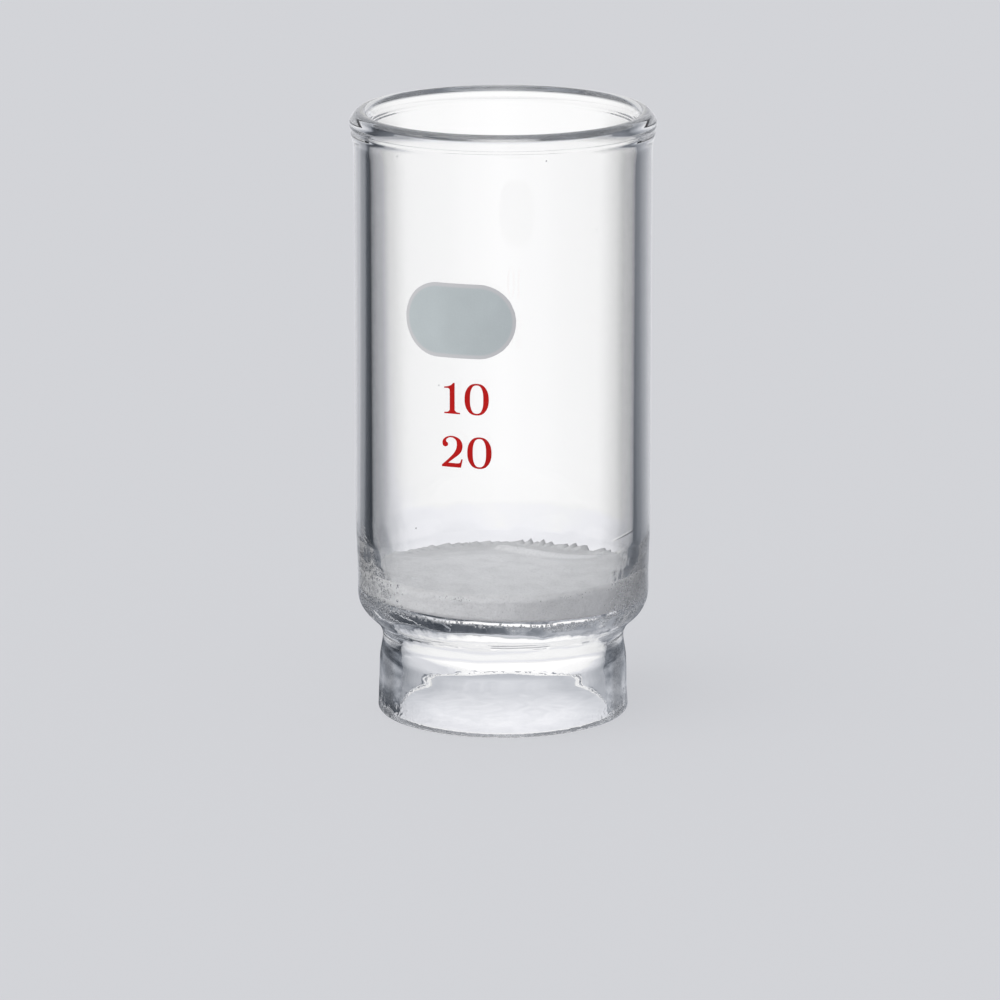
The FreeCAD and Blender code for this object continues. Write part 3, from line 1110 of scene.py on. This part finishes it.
def backdrop_group():
    """A group that gives the brightness that light through the glass finds at a place of the
    floor, or in a direction of the world, which counts as a place 1 m away."""
    sockets = {"Straight": "Color", "Folded": "Color"}
    tree, inputs = new_group("backdrop_brightness", {"Place": "Vector"}, sockets)
    place = inputs["Place"]
    aside, back, _ = separated(tree, place)
    distance = vector_math(tree, "LENGTH", place).outputs["Value"]
    angle = product(tree, calculate(tree, "ARCTAN2", aside, back), math.degrees(1))
    reach = product(tree, distance, 1 / MM)

    slant = calculate(tree, "DIVIDE", calculate(tree, "ABSOLUTE", aside), distance)
    sideways = product(tree, mapped(tree, slant, *SIDEWAYS), mapped(tree, reach, *CLOSE))
    beside = calculate(tree, "MULTIPLY_ADD", sideways, -0.5, 1.0)
    dimmer = scaled(tree, table_ramp(tree, reach, BEHIND), beside)
    straight = vector_math(tree, "MULTIPLY", table_ramp(tree, angle, STRAIGHT), dimmer).outputs[0]

    on_right = mapped(tree, aside, -10 * MM, 10 * MM, smooth=True)
    near = mixed(tree, on_right, table_ramp(tree, reach, NEAR_LEFT), table_ramp(tree, reach, NEAR_RIGHT))
    blotches = mapped(tree, noise_value(tree, place, 160.0, 3.0), 0.35, 0.65, 0.6, 1.4)
    far = mapped(tree, reach, *NEAR_ENDS, smooth=True)
    folded = mixed(tree, far, scaled(tree, near, blotches), table_ramp(tree, angle, FOLDED))

    wisps = noise_value(tree, place, 330.0, 3.0, 2.2)
    ragged = calculate(tree, "MULTIPLY_ADD", calculate(tree, "SUBTRACT", wisps, 0.5), 1.2, reach)
    lean = calculate(tree, "MULTIPLY_ADD", back, -FOOT_SHADOW_LEAN, 1.0)
    streaks = calculate(tree, "MULTIPLY_ADD", wisps, 0.3, 0.85)
    # Painted shadow of the foot and the disc on the floor that the glass sees, darker towards the back.
    floor = scaled(tree, table_ramp(tree, ragged, FOOT_SHADOW), product(tree, lean, streaks))
    straight = mixed(tree, mapped(tree, ragged, *FOOT_SHADOW_ENDS, smooth=True), floor, straight)

    output = add_node(tree, "NodeGroupOutput")
    for number, level in enumerate((straight, folded)):
        parts = add_node(tree, "ShaderNodeSeparateColor", {0: level}).outputs
        cool = [calculate(tree, "POWER", part, power) for part, power in zip(parts, TINT_POWERS)]
        most = calculate(tree, "MAXIMUM", parts[2], BLUE_LEVEL)
        cool[2] = calculate(tree, "MINIMUM", product(tree, cool[2], BLUE_GAIN), most)
        colour = add_node(tree, "ShaderNodeCombineColor", dict(enumerate(cool))).outputs[0]
        fill(tree, output, {number: colour})
    return tree


def seen_through(tree, place):
    """The colour that light which has met the glass finds at a place or in a direction."""
    backdrop = bpy.data.node_groups["backdrop_brightness"]
    group = add_node(tree, "ShaderNodeGroup", {"Place": place}, node_tree=backdrop)
    path = add_node(tree, "ShaderNodeLightPath")
    folded = calculate(tree, "GREATER_THAN", path.outputs["Glossy Depth"], 0.5)
    return mixed(tree, folded, group.outputs["Straight"], group.outputs["Folded"])


def met_glass(tree):
    """1 for light that the glass has passed or reflected, else 0."""
    path = add_node(tree, "ShaderNodeLightPath").outputs
    bounces = calculate(tree, "ADD", path["Glossy Depth"], path["Transmission Depth"])
    met = calculate(tree, "GREATER_THAN", bounces, 0.5)
    return product(tree, met, calculate(tree, "LESS_THAN", path["Diffuse Depth"], 0.5))


def floor_material():
    """The pale floor, lit from below as much as from above, so that shadows on it stay faint. The
    glass sees it as the bright backdrop."""
    made, tree, shader = material_nodes("studio_floor")
    fill(tree, shader, {"Base Color": (*FLOOR_COLOUR, 1), "Roughness": 0.9, "Specular IOR Level": 0.0})
    place = add_node(tree, "ShaderNodeNewGeometry").outputs["Position"]
    glow = add_node(tree, "ShaderNodeEmission", {"Color": seen_through(tree, place)})
    below = add_node(tree, "ShaderNodeEmission", {"Color": (*FLOOR_COLOUR, 1)})
    lit = add_node(tree, "ShaderNodeMixShader", {0: FLOOR_GLOW, 1: shader.outputs[0], 2: below.outputs[0]})
    show_mixed(tree, met_glass(tree), lit, glow)
    made.cycles.emission_sampling = "NONE"
    return made


# The colours of the soft light from the left and from the right, times its brightness.
LEFT_LIGHT = (1.3, 1.29, 1.26)
RIGHT_LIGHT = (0.66, 0.69, 0.76)


def light_world(settings):
    """The world: the floor's colour to the camera, the backdrop to the glass, soft light to the rest."""
    world = bpy.data.worlds.new("studio")
    world.use_nodes = True
    bpy.context.scene.world = world
    tree = world.node_tree
    shader = next(node for node in tree.nodes if node.type == "BACKGROUND")
    direction = add_node(tree, "ShaderNodeTexCoord").outputs["Generated"]
    side = calculate(tree, "MULTIPLY_ADD", separated(tree, direction)["X"], 0.5, 0.5)
    level = settings.world_light
    left, right = ((*(part * level for part in colour), 1) for colour in (LEFT_LIGHT, RIGHT_LIGHT))
    soft = mixed(tree, met_glass(tree), mixed(tree, side, left, right), seen_through(tree, direction))
    path = add_node(tree, "ShaderNodeLightPath")
    seen = mixed(tree, path.outputs["Is Camera Ray"], soft, (*FLOOR_COLOUR, 1))
    fill(tree, shader, {"Color": seen})


def add_sun(name, towards, strength, spread=60):
    """A soft distant light from a direction, which glass and gloss don't show. Its spread is in
    degrees."""
    data = bpy.data.lights.new(name, "SUN")
    data.energy = strength
    data.angle = math.radians(spread)
    lamp = bpy.data.objects.new(name, data)
    lamp.rotation_euler = Vector(towards).to_track_quat("Z", "Y").to_euler()
    lamp.visible_glossy = False
    lamp.visible_transmission = False
    bpy.context.scene.collection.objects.link(lamp)


class StudioSettings(PropertyGroup):
    """What a user would change in the studio."""

    floor_size: FloatProperty(name="Floor", description="Side of the floor", default=8.0, unit="LENGTH")
    world_light: FloatProperty(name="World", description="Brightness of the soft light", default=0.62)
    key_light: FloatProperty(name="Key light", description="Strength from the left", default=1.35)
    fill_light: FloatProperty(name="Fill light", description="Strength from the right", default=0.12)


class CRUCIBLE_OT_studio(Operator):
    """Add the floor, the lamps, the world and the camera"""

    bl_idname = "crucible.studio"
    bl_label = "Studio"

    def execute(self, context):
        settings = context.scene.crucible_studio
        backdrop_group()
        mesh = bmesh.new()
        bmesh.ops.create_grid(mesh, x_segments=1, y_segments=1, size=settings.floor_size / 2)
        floor = finished_mesh("floor", mesh)
        floor.location.z = -FLOOR_GAP * MM
        floor.data.materials.append(floor_material())
        light_world(settings)
        add_sun("key_light", (-0.6, -0.4, 0.75), settings.key_light)
        add_sun("fill_light", (0.7, -0.5, 0.7), settings.fill_light)
        data = bpy.data.cameras.new("camera")
        data.lens = CAMERA_LENS
        data.clip_start = 0.01
        camera = bpy.data.objects.new("camera", data)
        camera.location = (CAMERA_ASIDE, -CAMERA_BACK, CAMERA_HEIGHT)
        camera.rotation_euler = (math.pi / 2 - CAMERA_PITCH, 0, 0)
        context.scene.collection.objects.link(camera)
        context.scene.camera = camera
        context.scene.view_settings.view_transform = "Standard"
        context.scene.cycles.max_bounces = MOST_BOUNCES
        context.scene.cycles.glossy_bounces = MOST_REFLECTIONS
        context.scene.cycles.transmission_bounces = MOST_BOUNCES
        return {"FINISHED"}


class CRUCIBLE_PT_panel(Panel):
    """Buttons and sizes for the crucible"""

    bl_label = "Filter crucible"
    bl_idname = "CRUCIBLE_PT_panel"
    bl_space_type = "VIEW_3D"
    bl_region_type = "UI"
    bl_category = "Crucible"

    def draw(self, context):
        for operator, settings in PANEL_ROWS:
            box = self.layout.box()
            box.operator(operator.bl_idname)
            group = getattr(context.scene, settings)
            for name in group.bl_rna.properties.keys():
                if name not in ("rna_type", "name"):
                    box.prop(group, name)


SETTINGS = {
    "crucible_studio": StudioSettings,
    "crucible_glass": GlassSettings,
    "crucible_disc": DiscSettings,
    "crucible_spot": SpotSettings,
    "crucible_numbers": PrintSettings,
}
PANEL_ROWS = (
    (CRUCIBLE_OT_studio, "crucible_studio"),
    (CRUCIBLE_OT_glass, "crucible_glass"),
    (CRUCIBLE_OT_disc, "crucible_disc"),
    (CRUCIBLE_OT_spot, "crucible_spot"),
    (CRUCIBLE_OT_numbers, "crucible_numbers"),
)
CLASSES = (*SETTINGS.values(), *(row[0] for row in PANEL_ROWS), CRUCIBLE_PT_panel)


def register():
    """Makes the settings, operators and panel known to Blender."""
    for item in CLASSES:
        bpy.utils.register_class(item)
    for name, group in SETTINGS.items():
        setattr(bpy.types.Scene, name, PointerProperty(type=group))


def unregister():
    """Takes them away again."""
    for name in SETTINGS:
        delattr(bpy.types.Scene, name)
    for item in reversed(CLASSES):
        bpy.utils.unregister_class(item)


def main():
    """Builds the crucible and its studio."""
    register()
    bpy.ops.crucible.studio()
    bpy.ops.crucible.glass()
    bpy.ops.crucible.disc()
    bpy.ops.crucible.spot()
    bpy.ops.crucible.numbers()
    bpy.context.view_layer.update()


if __name__ == "__main__":
    main()
